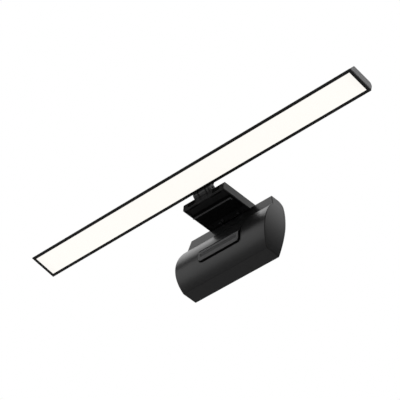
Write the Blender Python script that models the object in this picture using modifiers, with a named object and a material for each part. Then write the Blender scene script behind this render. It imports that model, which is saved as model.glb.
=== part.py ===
"""Monitor light bar: a slim lamp bar hinged to a short arm that rests on a monitor's top
edge, with a spring-closed counterweight behind the screen.

Frame: +X along the bar, -Y towards the user, +Z up. The origin is the middle of the rest pad's
lower face, where the part lies on the monitor. Lengths below are in millimetres.
"""
import math

import bmesh
import bpy
from mathutils import Matrix, Vector

MM = 0.001
GAP = 0.3                      # air between pieces that touch

# Lamp bar, in the bar's own frame: X along it, Y to its rear, Z up from the lit face
BAR_LENGTH = 450.0
BAR_DEPTH = 32.7
BAR_HEIGHT = 10.0
BAR_FRONT_SLANT = 4.8          # how far the front face leans back over the height
BAR_REAR_RADIUS = 5.0
BAR_WALL = 1.4
BAR_TILT = -8.9                # degrees about X as it rests: front edge raised
BAR_ORIGIN = (0.0, -40.2, 17.6)
CAP_THICKNESS = 2.2
BEZEL_BORDER = 3.0
BEZEL_THICKNESS = 1.2
TOUCH_CENTRE_Y = 1.5
TOUCH_SIZE = (60.0, 7.0)
USB_X = 70.0
USB_Z = 4.4
LED_COUNT = 42

# Tilt hinge between the arm and the bar
TILT_AXIS = (0.0, -23.4, 10.6)
TILT_KNUCKLE_RADIUS = 3.4
TILT_PIN_RADIUS = 1.25
TILT_CENTRE_HALF = 4.7         # half width of the lamp's middle knuckle
TILT_FORK_INNER = 5.5
TILT_FORK_OUTER = 12.0
LUG_SCREW_X = 8.0
LUG_SCREW_Z = 3.6

# Arm
ARM_HALF = 28.5
ARM_FRONT = -24.0
ARM_HEIGHT = 9.2
ARM_WALL = 1.4
BASE_LOW = 1.3
BASE_HIGH = 2.7
BASE_REAR = 17.0
RIB_FRONT = -12.0
RIB_REAR = -8.5
RIB_DROP = 3.0
BASE_SCREWS = {"base_screw_left": (-12.5, 15.0), "base_screw_right": (12.5, 15.0),
               "spring_stop_screw": (-7.5, 12.8)}

# Clamp hinge between the arm and the counterweight
CLAMP_AXIS = (0.0, 23.0, 4.6)
CLAMP_KNUCKLE_RADIUS = 2.9
CLAMP_PIN_RADIUS = 1.5
LUG_INNER = 13.6
LUG_OUTER = 18.6
YOKE_INNER = 19.4
YOKE_OUTER = 25.9
RUNNING = 0.05                 # radial clearance of a pin in its bore
SPRING_RADIUS = 2.35
SPRING_WIRE = 0.4
SPRING_TURNS = 9
SPRING_HALF = 5.6

# Counterweight body: section in Y and Z, ends bowed outwards
DRUM_CENTRE = (49.7, -42.0)
DRUM_RADIUS = 45.7
FLANGE_TOP = (17.4, 2.5)
FLANGE_FOOT_Z = -10.6
BODY_BOTTOM = -70.6
BODY_REAR = 34.3
BODY_TOP_RADIUS = 7.5
END_CENTRE = (-53.9, -36.0)
END_RADIUS = 117.0
SHELL = 2.2
CAVITY_TOP = -2.6
SPLIT_Y = 31.6
CHANNEL_HALF = 28.9
CHANNEL_FLOOR = -0.4
PAD_HALF = 28.0
PAD_TOP = -31.0
PAD_BOTTOM = -50.0
PAD_THICKNESS = 2.0
PAD_GROOVES = (-37.6,)
WEIGHT_X = (3.0, 41.0)
WEIGHT_Y = (14.5, 29.8)
WEIGHT_Z = (-58.0, -22.0)
COVER_SCREWS = {"cover_screw_1": (-22.0, -30.0), "cover_screw_2": (22.0, -30.0),
                "cover_screw_3": (-22.0, -52.0), "cover_screw_4": (22.0, -52.0)}
COVER_SEAT_Y = 33.2             # under the cover screws' heads
SADDLE_SCREW = (8.0, 24.5)

ALONG_X = Matrix(((0, 0, 1), (1, 0, 0), (0, 1, 0))).to_4x4()    # outline in Y and Z, run along X
ALONG_Y = Matrix(((1, 0, 0), (0, 0, -1), (0, 1, 0))).to_4x4()   # outline in X and Z, run along -Y
UPRIGHT = Matrix.Identity(4)                                    # outline in X and Y, run along Z

for old in list(bpy.data.objects):
    bpy.data.objects.remove(old, do_unlink=True)

part = bpy.data.collections.new("monitor_light_bar")
cutters = bpy.data.collections.new("cutters")
bpy.context.scene.collection.children.link(part)
bpy.context.scene.collection.children.link(cutters)


# ---------------------------------------------------------------- frames and materials
class Frame:
    """A group of pieces that share an empty; origin is where their own zero lies."""

    def __init__(self, name, pivot, origin, tilt=0.0):
        self.empty = bpy.data.objects.new(name, None)
        self.empty.location = Vector(pivot) * MM
        self.empty.rotation_euler = (math.radians(tilt), 0.0, 0.0)
        part.objects.link(self.empty)
        turn = Matrix.Rotation(math.radians(tilt), 3, "X")
        self.offset = turn.inverted() @ (Vector(origin) - Vector(pivot))


arm = Frame("arm_frame", (0, 0, 0), (0, 0, 0))
lamp = Frame("lamp_pivot", TILT_AXIS, BAR_ORIGIN, BAR_TILT)
clamp = Frame("clamp_pivot", CLAMP_AXIS, (0, 0, 0))


def finish(name, color, roughness, metallic=0.0, emission=0.0):
    made = bpy.data.materials.new(name)
    made.use_nodes = True
    shader = made.node_tree.nodes["Principled BSDF"]
    shader.inputs["Base Color"].default_value = (*color, 1.0)
    shader.inputs["Roughness"].default_value = roughness
    shader.inputs["Metallic"].default_value = metallic
    if emission:
        shader.inputs["Emission Color"].default_value = (*color, 1.0)
        shader.inputs["Emission Strength"].default_value = emission
    return made


HOUSING = finish("anodised_black", (0.03, 0.03, 0.032), 0.42, 0.6)
BLACK = finish("black_plastic", (0.018, 0.018, 0.019), 0.45)
GLOSS = finish("gloss_black", (0.012, 0.012, 0.013), 0.2)
SILICONE = finish("silicone", (0.03, 0.03, 0.03), 0.75)
OPAL = finish("opal_diffuser", (1.0, 0.97, 0.9), 0.5, emission=2.0)
WHITE = finish("white_reflector", (0.85, 0.85, 0.83), 0.5)
BOARD = finish("circuit_board", (0.8, 0.82, 0.78), 0.5)
STEEL = finish("steel", (0.5, 0.5, 0.5), 0.3, 1.0)
IRON = finish("cast_weight", (0.2, 0.2, 0.21), 0.6, 0.8)


# ---------------------------------------------------------------- shape helpers
def settle(made, frame, material, cutter):
    """Link an object, hang it on its frame and give it its material or cutter display."""
    made.parent = frame.empty
    made.location = Vector(made.location) + frame.offset * MM
    if cutter:
        cutters.objects.link(made)
        made.hide_render = True
        made.display_type = "WIRE"
    else:
        part.objects.link(made)
        made.data.materials.clear()
        made.data.materials.append(material)
    return made


def box(name, low, high, frame, material=None, bevel=0.0, segments=2):
    """A box between two corners; without a material it is a cutter."""
    size = Vector(high) - Vector(low)
    shape = bmesh.new()
    bmesh.ops.create_cube(shape, size=1.0)
    bmesh.ops.scale(shape, vec=size * MM, verts=shape.verts)
    mesh = bpy.data.meshes.new(name)
    shape.to_mesh(mesh)
    shape.free()
    made = bpy.data.objects.new(name, mesh)
    made.location = (Vector(low) + Vector(high)) * 0.5 * MM
    if bevel:
        soften(made, bevel, segments)
    return settle(made, frame, material, material is None)


def rod(name, radius, start, end, frame, material=None, segments=24, smooth=True):
    """A cylinder from one point to another; without a material it is a cutter."""
    start, end = Vector(start), Vector(end)
    run = end - start
    shape = bmesh.new()
    bmesh.ops.create_cone(shape, cap_ends=True, segments=segments, radius1=radius * MM,
                          radius2=radius * MM, depth=run.length * MM)
    turn = run.to_track_quat("Z", "Y").to_matrix().to_4x4()
    bmesh.ops.transform(shape, matrix=turn, verts=shape.verts)
    mesh = bpy.data.meshes.new(name)
    shape.to_mesh(mesh)
    shape.free()
    if smooth:
        mesh.shade_smooth()
        mesh.set_sharp_from_angle(angle=math.radians(35))
    made = bpy.data.objects.new(name, mesh)
    made.location = (start + end) * 0.5 * MM
    return settle(made, frame, material, material is None)


def prism(name, outlines, low, high, axes, frame, material=None, smooth=True):
    """A flat outline, with any holes, run from low to high along the axis that axes gives."""
    curve = bpy.data.curves.new(name, "CURVE")
    curve.dimensions = "2D"
    curve.fill_mode = "BOTH"
    curve.extrude = (high - low) * 0.5 * MM
    for outline in outlines:
        spline = curve.splines.new("POLY")
        spline.points.add(len(outline) - 1)
        spline.use_cyclic_u = True
        for point, (u, v) in zip(spline.points, outline):
            point.co = (u * MM, v * MM, 0.0, 1.0)
    flat = bpy.data.objects.new(name + "_outline", curve)
    bpy.context.scene.collection.objects.link(flat)
    bpy.context.view_layer.update()
    mesh = bpy.data.meshes.new_from_object(flat.evaluated_get(bpy.context.evaluated_depsgraph_get()))
    bpy.data.objects.remove(flat)
    mesh.name = name
    shape = bmesh.new()
    shape.from_mesh(mesh)
    bmesh.ops.remove_doubles(shape, verts=shape.verts, dist=1e-7)
    middle = Matrix.Translation((0.0, 0.0, (high + low) * 0.5 * MM))
    bmesh.ops.transform(shape, matrix=axes @ middle, verts=shape.verts)
    bmesh.ops.recalc_face_normals(shape, faces=shape.faces)
    bmesh.ops.dissolve_limit(shape, angle_limit=math.radians(0.5), verts=shape.verts,
                             edges=shape.edges)
    shape.to_mesh(mesh)
    shape.free()
    if smooth:
        mesh.shade_smooth()
        mesh.set_sharp_from_angle(angle=math.radians(30))
    return settle(bpy.data.objects.new(name, mesh), frame, material, material is None)


def turned(name, profile, place, direction, frame, material):
    """A turned piece: a (radius, height) profile, top to bottom, spun by a Screw modifier."""
    mesh = bpy.data.meshes.new(name)
    points = [(radius * MM, 0.0, height * MM) for radius, height in profile]
    mesh.from_pydata(points, [(i, i + 1) for i in range(len(points) - 1)], [])
    made = bpy.data.objects.new(name, mesh)
    screw = made.modifiers.new("turn", "SCREW")
    screw.steps = 24
    screw.render_steps = 24
    screw.use_merge_vertices = True
    screw.merge_threshold = 0.000001
    screw.use_smooth_shade = False
    made.rotation_euler = Vector(direction).to_track_quat("Z", "Y").to_euler()
    made.location = Vector(place) * MM
    return settle(made, frame, material, False)


def soften(made, width, segments=2, angle=40.0):
    bevel = made.modifiers.new("soft_edges", "BEVEL")
    bevel.width = width * MM
    bevel.segments = segments
    bevel.limit_method = "ANGLE"
    bevel.angle_limit = math.radians(angle)
    return made


def combine(made, other, operation):
    step = made.modifiers.new(other.name, "BOOLEAN")
    step.operation = operation
    step.solver = "EXACT"
    step.object = other
    return made


def cut(made, *others):
    for other in others:
        combine(made, other, "DIFFERENCE")
    return made


def join(made, *others):
    for other in others:
        combine(made, other, "UNION")
    return made


def arc(centre, radius, start, end, steps):
    """Points on an arc, angles in degrees from the first axis towards the second."""
    angles = [math.radians(start + (end - start) * i / steps) for i in range(steps + 1)]
    return [(centre[0] + radius * math.cos(a), centre[1] + radius * math.sin(a)) for a in angles]


def rounded(corners, steps=5):
    """A closed outline whose corners (u, v, radius) are rounded where radius is over zero."""
    outline = []
    for i, (u, v, radius) in enumerate(corners):
        here = Vector((u, v))
        if not radius:
            outline.append((u, v))
            continue
        before = (Vector(corners[i - 1][:2]) - here).normalized()
        after = (Vector(corners[(i + 1) % len(corners)][:2]) - here).normalized()
        half = before.angle(after) * 0.5
        reach = radius / math.tan(half)
        centre = here + (before + after).normalized() * radius / math.sin(half)
        first = here + before * reach - centre
        sweep = first.angle_signed(here + after * reach - centre)
        for step in range(steps + 1):
            turn = Matrix.Rotation(-sweep * step / steps, 2)
            point = centre + turn @ first
            outline.append((point.x, point.y))
    return outline


def rectangle(u_low, v_low, u_high, v_high, radius=0.0, steps=5):
    corners = ((u_low, v_low), (u_high, v_low), (u_high, v_high), (u_low, v_high))
    return rounded([(u, v, radius) for u, v in corners], steps)


# ---------------------------------------------------------------- lamp bar
def bar_front(height, inset=0.0):
    """Where the slanted front face stands at a height above the lit face."""
    lean = BAR_FRONT_SLANT / BAR_HEIGHT
    return -BAR_DEPTH / 2 + lean * height + inset * math.hypot(1.0, lean)


def bar_section(low, inset=0.0):
    """The bar's outer section, or the hollow inside it when inset is its wall."""
    top = BAR_HEIGHT - inset
    rear = BAR_DEPTH / 2 - inset
    radius = BAR_REAR_RADIUS - inset
    return [(bar_front(low, inset), low, 0.0), (rear, low, 0.0), (rear, top, radius),
            (bar_front(top, inset), top, max(1.0 - inset, 0.3))]


def make_housing():
    low = BEZEL_THICKNESS + GAP
    half = BAR_LENGTH / 2 - CAP_THICKNESS - GAP
    outer = rounded(bar_section(low))
    hollow = rounded(bar_section(low, BAR_WALL))
    wall = outer[1:] + outer[:1] + hollow[:1] + hollow[:0:-1]
    housing = prism("bar_housing", [wall], -half, half, ALONG_X, lamp, HOUSING)
    touch_x, touch_y = TOUCH_SIZE[0] / 2 + GAP, TOUCH_SIZE[1] / 2 + GAP
    cut(housing,
        box("touch_slot", (-touch_x, TOUCH_CENTRE_Y - touch_y, 8.0),
            (touch_x, TOUCH_CENTRE_Y + touch_y, 11.0), lamp),
        prism("usb_slot", [rectangle(USB_X - 4.8, USB_Z - 1.9, USB_X + 4.8, USB_Z + 1.9, 1.8)],
              -18.0, -14.0, ALONG_Y, lamp))
    for side in (-1, 1):
        cut(housing, rod(f"housing_hole_{side + 1}", 1.05, (side * LUG_SCREW_X, 13.0, LUG_SCREW_Z),
                         (side * LUG_SCREW_X, 18.0, LUG_SCREW_Z), lamp))


def make_end_cap(name, side):
    low = BEZEL_THICKNESS + GAP
    outside, inside = side * BAR_LENGTH / 2, side * (BAR_LENGTH / 2 - CAP_THICKNESS)
    cap = prism(name, [rounded(bar_section(low))], min(outside, inside), max(outside, inside),
                ALONG_X, lamp, HOUSING)
    plug_end = side * (BAR_LENGTH / 2 - 6.0)
    join(cap, box(name + "_plug", (min(outside - side, plug_end), -7.0, 2.4),
                  (max(outside - side, plug_end), 13.0, 8.0), lamp))
    soften(cap, 0.35, 2, 50.0)


def make_lit_face():
    half, depth = BAR_LENGTH / 2, BAR_DEPTH / 2
    window = (half - BEZEL_BORDER, depth - BEZEL_BORDER)
    bezel = prism("bezel_frame", [rectangle(-half, -depth, half, depth),
                                  rectangle(-window[0], -window[1], window[0], window[1])],
                  0.0, BEZEL_THICKNESS, UPRIGHT, lamp, BLACK)
    soften(bezel, 0.2, 1)
    box("diffuser", (-window[0] + GAP, -window[1] + GAP, 0.1),
        (window[0] - GAP, window[1] - GAP, 1.4), lamp, OPAL)


def make_optics():
    tray = [(-12.3, 2.0), (-7.6, 6.9), (6.4, 6.9), (8.8, 2.0),
            (8.1, 2.0), (5.9, 6.3), (-7.3, 6.3), (-11.5, 2.0)]
    prism("reflector", [tray], -215.0, 215.0, ALONG_X, lamp, WHITE)
    board = box("led_board", (-213.0, -6.5, 5.0), (213.0, 5.0, 6.0), lamp, BOARD)
    chips = box("led_chips", (-1.5, -2.2, 4.3), (1.5, 0.8, 5.2), lamp)
    pitch = 420.0 / LED_COUNT
    row = chips.modifiers.new("row", "ARRAY")
    row.count = LED_COUNT
    row.use_relative_offset = False
    row.use_constant_offset = True
    row.constant_offset_displace = (pitch * MM, 0.0, 0.0)
    row.use_merge_vertices = False
    chips.location.x -= pitch * (LED_COUNT - 1) / 2 * MM
    join(board, chips)
    box("driver_board", (25.0, -5.0, 7.2), (125.0, 8.0, 8.2), lamp, BOARD)


def make_touch_control():
    half = TOUCH_SIZE[0] / 2
    low, high = TOUCH_CENTRE_Y - TOUCH_SIZE[1] / 2, TOUCH_CENTRE_Y + TOUCH_SIZE[1] / 2
    panel = box("touch_panel", (-half, low, 8.8), (half, high, BAR_HEIGHT), lamp, GLOSS)
    soften(panel, 0.15, 1)
    box("touch_board", (-22.0, -4.0, 7.3), (22.0, 7.0, 8.3), lamp, BOARD)


def make_usb_socket():
    shell = prism("usb_c_socket", [rectangle(USB_X - 4.5, USB_Z - 1.6, USB_X + 4.5, USB_Z + 1.6, 1.5)],
                  -16.2, -9.4, ALONG_Y, lamp, STEEL)
    cut(shell, prism("usb_mouth", [rectangle(USB_X - 4.15, USB_Z - 1.25, USB_X + 4.15, USB_Z + 1.25, 1.2)],
                     -17.0, -10.4, ALONG_Y, lamp))
    join(shell, box("usb_tongue", (USB_X - 3.3, 10.0, USB_Z - 0.35), (USB_X + 3.3, 14.8, USB_Z + 0.35),
                    lamp))


def make_lug():
    """The lamp's half of the tilt hinge: a middle knuckle on a foot behind the housing."""
    turn = Matrix.Rotation(math.radians(-BAR_TILT), 3, "X")
    axis = turn @ (Vector(TILT_AXIS) - Vector(BAR_ORIGIN))
    foot_low = BAR_DEPTH / 2 + GAP
    lug = box("tilt_lug", (-11.5, foot_low, -0.8), (11.5, foot_low + 1.8, 6.4), lamp, BLACK)
    half = TILT_CENTRE_HALF
    join(lug, box("lug_web", (-half, foot_low + 0.2, axis.z), (half, foot_low + 1.6, 1.0), lamp),
         rod("lug_knuckle", TILT_KNUCKLE_RADIUS, (-half, axis.y, axis.z), (half, axis.y, axis.z),
             lamp, segments=32))
    cut(lug, rod("lug_bore", TILT_PIN_RADIUS + RUNNING, (-half - 1, axis.y, axis.z),
                 (half + 1, axis.y, axis.z), lamp))
    plate = box("lug_nut_plate", (-11.0, 13.2, 1.9), (11.0, 14.65, 6.0), lamp, STEEL)
    for side, name in ((-1, "lug_screw_left"), (1, "lug_screw_right")):
        place = (side * LUG_SCREW_X, foot_low + 1.8 + GAP, LUG_SCREW_Z)
        for piece in (lug, plate):
            cut(piece, rod(f"{piece.name}_hole_{side + 1}", 1.05, (place[0], 12.0, place[2]),
                           (place[0], 20.0, place[2]), lamp))
        make_screw(name, place, (0, 1, 0), 1.8, 1.1, 6.0, lamp)


def make_screw(name, place, direction, head_radius, head_height, length, frame):
    """A round-head screw: place is under its head, direction points out of the head."""
    shank = 0.9
    profile = [(0.0, head_height), (head_radius * 0.6, head_height), (head_radius, head_height * 0.55),
               (head_radius, 0.0), (shank, 0.0), (shank, -length + 0.6), (0.4, -length), (0.0, -length)]
    turned(name, profile, place, direction, frame, STEEL)


# ---------------------------------------------------------------- tilt hinge, arm side
def make_tilt_hinge():
    y, z = TILT_AXIS[1:]
    fork = box("tilt_fork", (-TILT_FORK_OUTER, ARM_FRONT + GAP, 4.0), (TILT_FORK_OUTER, -15.5, 8.9),
               arm, BLACK)
    cut(fork, rod("fork_relief", TILT_KNUCKLE_RADIUS + 0.5, (-TILT_FORK_INNER + 0.2, y, z),
                  (TILT_FORK_INNER - 0.2, y, z), arm, segments=32))
    for side in (-1, 1):
        inner, outer = side * TILT_FORK_INNER, side * TILT_FORK_OUTER
        join(fork,
             box(f"fork_web_{side + 1}", (min(inner, outer), ARM_FRONT + GAP, 8.0),
                 (max(inner, outer), -19.8, z), arm),
             rod(f"fork_knuckle_{side + 1}", TILT_KNUCKLE_RADIUS, (inner, y, z), (outer, y, z), arm,
                 segments=32))
    cut(fork, rod("fork_bore", TILT_PIN_RADIUS + RUNNING, (-14, y, z), (14, y, z), arm))
    rod("tilt_pin", TILT_PIN_RADIUS, (-12.4, y, z), (12.4, y, z), arm, STEEL)
    for side, name in ((-1, "friction_washer_left"), (1, "friction_washer_right")):
        washer = rod(name, 3.0, (side * 4.9, y, z), (side * 5.3, y, z), arm, STEEL)
        cut(washer, rod(name + "_bore", 1.35, (side * 4, y, z), (side * 6, y, z), arm))


# ---------------------------------------------------------------- arm
def arm_outline():
    y, z = CLAMP_AXIS[1:]
    rear = arc((y, z), z, -90.0, 90.0, 12)
    front = rounded([(y, ARM_HEIGHT, 0.0), (ARM_FRONT, ARM_HEIGHT, 2.4), (ARM_FRONT, 0.0, 0.5),
                     (y, 0.0, 0.0)], 4)
    return rear + front[1:-1]


def make_arm_cover():
    y, z = CLAMP_AXIS[1:]
    cover = prism("arm_cover", [arm_outline()], -ARM_HALF, ARM_HALF, ALONG_X, arm, BLACK)
    soften(cover, 0.7, 3, 60.0)
    inner_top = ARM_HEIGHT - ARM_WALL
    opening = 3.4
    inside = arc((y, z), z - ARM_WALL, 90.0, 0.0, 6) + [(y + z - ARM_WALL, opening), (y + 8, opening),
                                                        (y + 8, -1.0), (ARM_FRONT + ARM_WALL, -1.0),
                                                        (ARM_FRONT + ARM_WALL, inner_top)]
    inner_half = ARM_HALF - ARM_WALL
    cut(cover, prism("arm_hollow", [inside], -inner_half, inner_half, ALONG_X, arm),
        box("fork_notch", (-TILT_FORK_OUTER - GAP, ARM_FRONT - 1, 3.7),
            (TILT_FORK_OUTER + GAP, -15.2, 10.0), arm))


def make_arm_base():
    half = ARM_HALF - ARM_WALL - GAP
    base = box("arm_base", (-half, ARM_FRONT + ARM_WALL + GAP, BASE_LOW), (half, BASE_REAR, BASE_HIGH),
               arm, BLACK)
    cut(base, box("rib_slot", (-24.3, -11.5, 0.0), (24.3, -9.0, 4.0), arm))
    middle = (RIB_FRONT + RIB_REAR) / 2
    rib = rounded([(RIB_FRONT, -RIB_DROP, 0.9), (RIB_REAR, -RIB_DROP, 0.9), (RIB_REAR, 1.0, 0.0),
                   (RIB_FRONT, 1.0, 0.0)], 4)
    hook = prism("hook_rib", [rib], -26.0, 26.0, ALONG_X, arm, SILICONE)
    join(hook, box("rib_root", (-24.0, middle - 0.95, 0.5), (24.0, middle + 0.95, 2.5), arm))
    box("rest_pad", (-25.0, -7.0, 0.0), (25.0, 9.0, 1.0), arm, SILICONE)
    for name, (x, y) in BASE_SCREWS.items():
        cut(base, rod(name + "_hole", 1.05, (x, y, 0), (x, y, 4), arm))
        make_screw(name, (x, y, BASE_LOW - GAP), (0, 0, -1), 1.9, 0.9, 4.6, arm)


# ---------------------------------------------------------------- clamp hinge
def make_clamp_hinge():
    y, z = CLAMP_AXIS[1:]
    yoke = box("rear_yoke", (-YOKE_OUTER, 9.5, 3.0), (YOKE_OUTER, 17.0, 7.4), arm, BLACK)
    for side in (-1, 1):
        inner, outer = side * YOKE_INNER, side * YOKE_OUTER
        join(yoke,
             box(f"yoke_arm_{side + 1}", (min(inner, outer), 16.0, 3.0), (max(inner, outer), y, 7.0), arm),
             rod(f"yoke_knuckle_{side + 1}", CLAMP_KNUCKLE_RADIUS, (inner, y, z), (outer, y, z), arm,
                 segments=32))
    cut(yoke, rod("yoke_bore", CLAMP_PIN_RADIUS + RUNNING, (-30, y, z), (30, y, z), arm))
    for name, (x, place_y) in BASE_SCREWS.items():
        cut(yoke, rod(name + "_thread", 1.05, (x, place_y, 2), (x, place_y, 6.2), arm))
    rod("clamp_pin", CLAMP_PIN_RADIUS, (-26.3, y, z), (26.3, y, z), arm, STEEL)
    for side, name in ((-1, "clamp_washer_left"), (1, "clamp_washer_right")):
        washer = rod(name, 2.7, (side * 18.8, y, z), (side * 19.2, y, z), arm, STEEL)
        cut(washer, rod(name + "_bore", 1.6, (side * 18, y, z), (side * 20, y, z), arm))


def make_torsion_spring():
    """A close coil round the clamp pin with one leg forward and one leg down."""
    y, z = CLAMP_AXIS[1:]
    per_turn = 12
    count = SPRING_TURNS * per_turn + per_turn // 4
    points = [(-SPRING_HALF, y - 4.6, z + SPRING_RADIUS)]
    for i in range(count + 1):
        angle = math.radians(90.0) - math.tau * i / per_turn
        x = -SPRING_HALF + 2 * SPRING_HALF * i / count
        points.append((x, y + SPRING_RADIUS * math.cos(angle), z + SPRING_RADIUS * math.sin(angle)))
    points.append((SPRING_HALF, y + SPRING_RADIUS, z - 4.0))
    curve = bpy.data.curves.new("torsion_spring", "CURVE")
    curve.dimensions = "3D"
    curve.bevel_depth = SPRING_WIRE * MM
    curve.bevel_resolution = 2
    curve.use_fill_caps = True
    spline = curve.splines.new("POLY")
    spline.points.add(len(points) - 1)
    for point, place in zip(spline.points, points):
        point.co = (*(Vector(place) * MM), 1.0)
    settle(bpy.data.objects.new("torsion_spring", curve), arm, STEEL, False)


def make_saddle():
    """The counterweight's half of the clamp hinge, screwed up under the shell's top wall."""
    y, z = CLAMP_AXIS[1:]
    saddle = box("hinge_saddle", (-20.5, 19.9, -4.4), (20.5, 26.6, -2.9), clamp, BLACK)
    for side in (-1, 1):
        inner, outer = side * LUG_INNER, side * LUG_OUTER
        low, high = min(inner, outer), max(inner, outer)
        join(saddle, box(f"saddle_stem_{side + 1}", (low, y - 2.6, -4.0), (high, y + 1.5, z), clamp),
             rod(f"saddle_knuckle_{side + 1}", CLAMP_KNUCKLE_RADIUS, (low, y, z), (high, y, z), clamp,
                 segments=32))
    cut(saddle, rod("saddle_bore", CLAMP_PIN_RADIUS + RUNNING, (-30, y, z), (30, y, z), clamp))
    for side, name in ((-1, "saddle_screw_left"), (1, "saddle_screw_right")):
        x, place_y = side * SADDLE_SCREW[0], SADDLE_SCREW[1]
        cut(saddle, rod(name + "_hole", 1.05, (x, place_y, -6), (x, place_y, -2), clamp))
        make_screw(name, (x, place_y, -4.4 - GAP), (0, 0, -1), 1.8, 1.0, 3.4, clamp)


# ---------------------------------------------------------------- counterweight body
def drum_front(z, inset=0.0):
    return DRUM_CENTRE[0] - math.sqrt((DRUM_RADIUS - inset) ** 2 - (z - DRUM_CENTRE[1]) ** 2)


def body_section(inset=0.0, top=None):
    """The counterweight's section: flange, bulging front, flat bottom and back."""
    top = FLANGE_TOP[1] if top is None else top
    bottom = BODY_BOTTOM + inset
    rear = BODY_REAR - inset
    low_angle = math.degrees(math.asin((bottom - DRUM_CENTRE[1]) / (DRUM_RADIUS - inset)))
    foot = FLANGE_FOOT_Z - inset * 0.4
    high_angle = math.degrees(math.asin((foot - DRUM_CENTRE[1]) / (DRUM_RADIUS - inset)))
    front = arc(DRUM_CENTRE, DRUM_RADIUS - inset, 180.0 - high_angle, 180.0 - low_angle, 22)
    radius = BODY_TOP_RADIUS - inset
    lip = 0.8 if not inset else 0.0
    lean = 1.0 if inset else 1.7
    back = rounded([(*front[-1], 0.0), (rear - lean, bottom, 0.0 if inset else 1.0),
                    (rear, -36.0, 0.0), (rear, top, radius), (FLANGE_TOP[0] + inset, top, lip),
                    (*front[0], 0.0)], 7)
    return front + back[1:-1]


def body_ends(inset=0.0):
    """The counterweight seen from the front: ends bowed outwards."""
    high, low = 12.0, -80.0
    angles = [math.degrees(math.asin((z - END_CENTRE[1]) / (END_RADIUS - inset))) for z in (low, high)]
    right = arc(END_CENTRE, END_RADIUS - inset, angles[0], angles[1], 26)
    left = [(-x, z) for x, z in reversed(right)]
    return right + left


def body_solid(name, inset, top, material=None):
    reach = 70.0
    solid = prism(name, [body_section(inset, top)], -reach, reach, ALONG_X, clamp, material)
    ends = prism(name + "_ends", [body_ends(inset)], -60.0, 10.0, ALONG_Y, clamp)
    return combine(solid, ends, "INTERSECT")


def make_body_shells():
    hollow = body_solid("body_hollow", SHELL, CAVITY_TOP)
    y, z = CLAMP_AXIS[1:]
    shell = body_solid("weight_shell", 0.0, None, BLACK)
    soften(shell, 0.5, 2, 30.0)
    cut(shell, hollow, box("shell_back", (-80, SPLIT_Y, -90), (80, 50, 20), clamp),
        box("arm_channel", (-CHANNEL_HALF, 5.0, CHANNEL_FLOOR), (CHANNEL_HALF, y, 12.0), clamp),
        rod("arm_trough", z - CHANNEL_FLOOR, (-CHANNEL_HALF, y, z), (CHANNEL_HALF, y, z), clamp,
            segments=48))
    for side in (-1, 1):
        inner, outer = side * (LUG_INNER - GAP), side * (LUG_OUTER + GAP)
        cut(shell, box(f"stem_slot_{side + 1}", (min(inner, outer), y - 3.0, -6.0),
                       (max(inner, outer), y + 3.0, 2.0), clamp),
            rod(f"saddle_thread_{side + 1}", 1.05, (side * SADDLE_SCREW[0], SADDLE_SCREW[1], -3.0),
                (side * SADDLE_SCREW[0], SADDLE_SCREW[1], -0.9), clamp))
    cover = body_solid("rear_cover", 0.0, None, BLACK)
    soften(cover, 0.5, 2, 30.0)
    cut(cover, hollow, box("cover_front", (-80, -10, -90), (80, SPLIT_Y + GAP, 20), clamp))
    for name, (x, z_place) in COVER_SCREWS.items():
        cut(cover, rod(name + "_hole", 1.05, (x, 30, z_place), (x, 36, z_place), clamp),
            rod(name + "_seat", 2.2, (x, COVER_SEAT_Y, z_place), (x, 36, z_place), clamp))


def make_weights():
    x_low, x_high = WEIGHT_X
    for side, name in ((-1, "counterweight_left"), (1, "counterweight_right")):
        near, far = side * x_low, side * x_high
        block = box(name, (min(near, far), WEIGHT_Y[0], WEIGHT_Z[0]),
                    (max(near, far), WEIGHT_Y[1], WEIGHT_Z[1]), clamp, IRON, bevel=0.8)
        for screw, (x, z) in COVER_SCREWS.items():
            if x * side > 0:
                cut(block, rod(screw + "_thread", 1.05, (x, 25.0, z), (x, 31.0, z), clamp))
    for name, (x, z) in COVER_SCREWS.items():
        make_screw(name, (x, COVER_SEAT_Y + GAP, z), (0, 1, 0), 1.9, 0.7, 6.0, clamp)


def make_grip_pad():
    """A ribbed silicone pad on the bulging front, which meets the back of the monitor."""
    def angle(z):
        return 180.0 - math.degrees(math.asin((z - DRUM_CENTRE[1]) / DRUM_RADIUS))
    skin, back = DRUM_RADIUS + PAD_THICKNESS, DRUM_RADIUS + GAP
    groove = 0.9
    front, mark = [], PAD_TOP
    for z in PAD_GROOVES:
        front += arc(DRUM_CENTRE, skin, angle(mark), angle(z + groove), 5)
        front += arc(DRUM_CENTRE, skin - 0.9, angle(z + groove * 0.5), angle(z - groove * 0.5), 1)
        mark = z - groove
    front += arc(DRUM_CENTRE, skin, angle(mark), angle(PAD_BOTTOM), 5)
    rear = arc(DRUM_CENTRE, back, angle(PAD_BOTTOM), angle(PAD_TOP), 12)
    pad = prism("grip_pad", [front + rear], -PAD_HALF, PAD_HALF, ALONG_X, clamp, SILICONE)
    outline = rounded([(-PAD_HALF, PAD_BOTTOM - 3, 5.0), (PAD_HALF, PAD_BOTTOM - 3, 5.0),
                       (PAD_HALF, PAD_TOP + 5, 1.0), (-PAD_HALF, PAD_TOP + 5, 1.0)])
    combine(pad, prism("pad_outline", [outline], -30.0, 10.0, ALONG_Y, clamp), "INTERSECT")


make_lit_face()
make_housing()
make_end_cap("end_cap_left", -1)
make_end_cap("end_cap_right", 1)
make_optics()
make_touch_control()
make_usb_socket()
make_lug()
make_tilt_hinge()
make_arm_cover()
make_arm_base()
make_clamp_hinge()
make_torsion_spring()
make_saddle()
make_body_shells()
make_weights()
make_grip_pad()
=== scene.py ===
"""Monitor light bar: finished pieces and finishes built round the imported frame.

Lengths are in millimetres and become metres when a piece is made. The bar has its own frame:
X along it, U to its rear, W up from the lit face.
"""
import math

import bmesh
import bpy
from mathutils import Matrix, Vector


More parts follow.
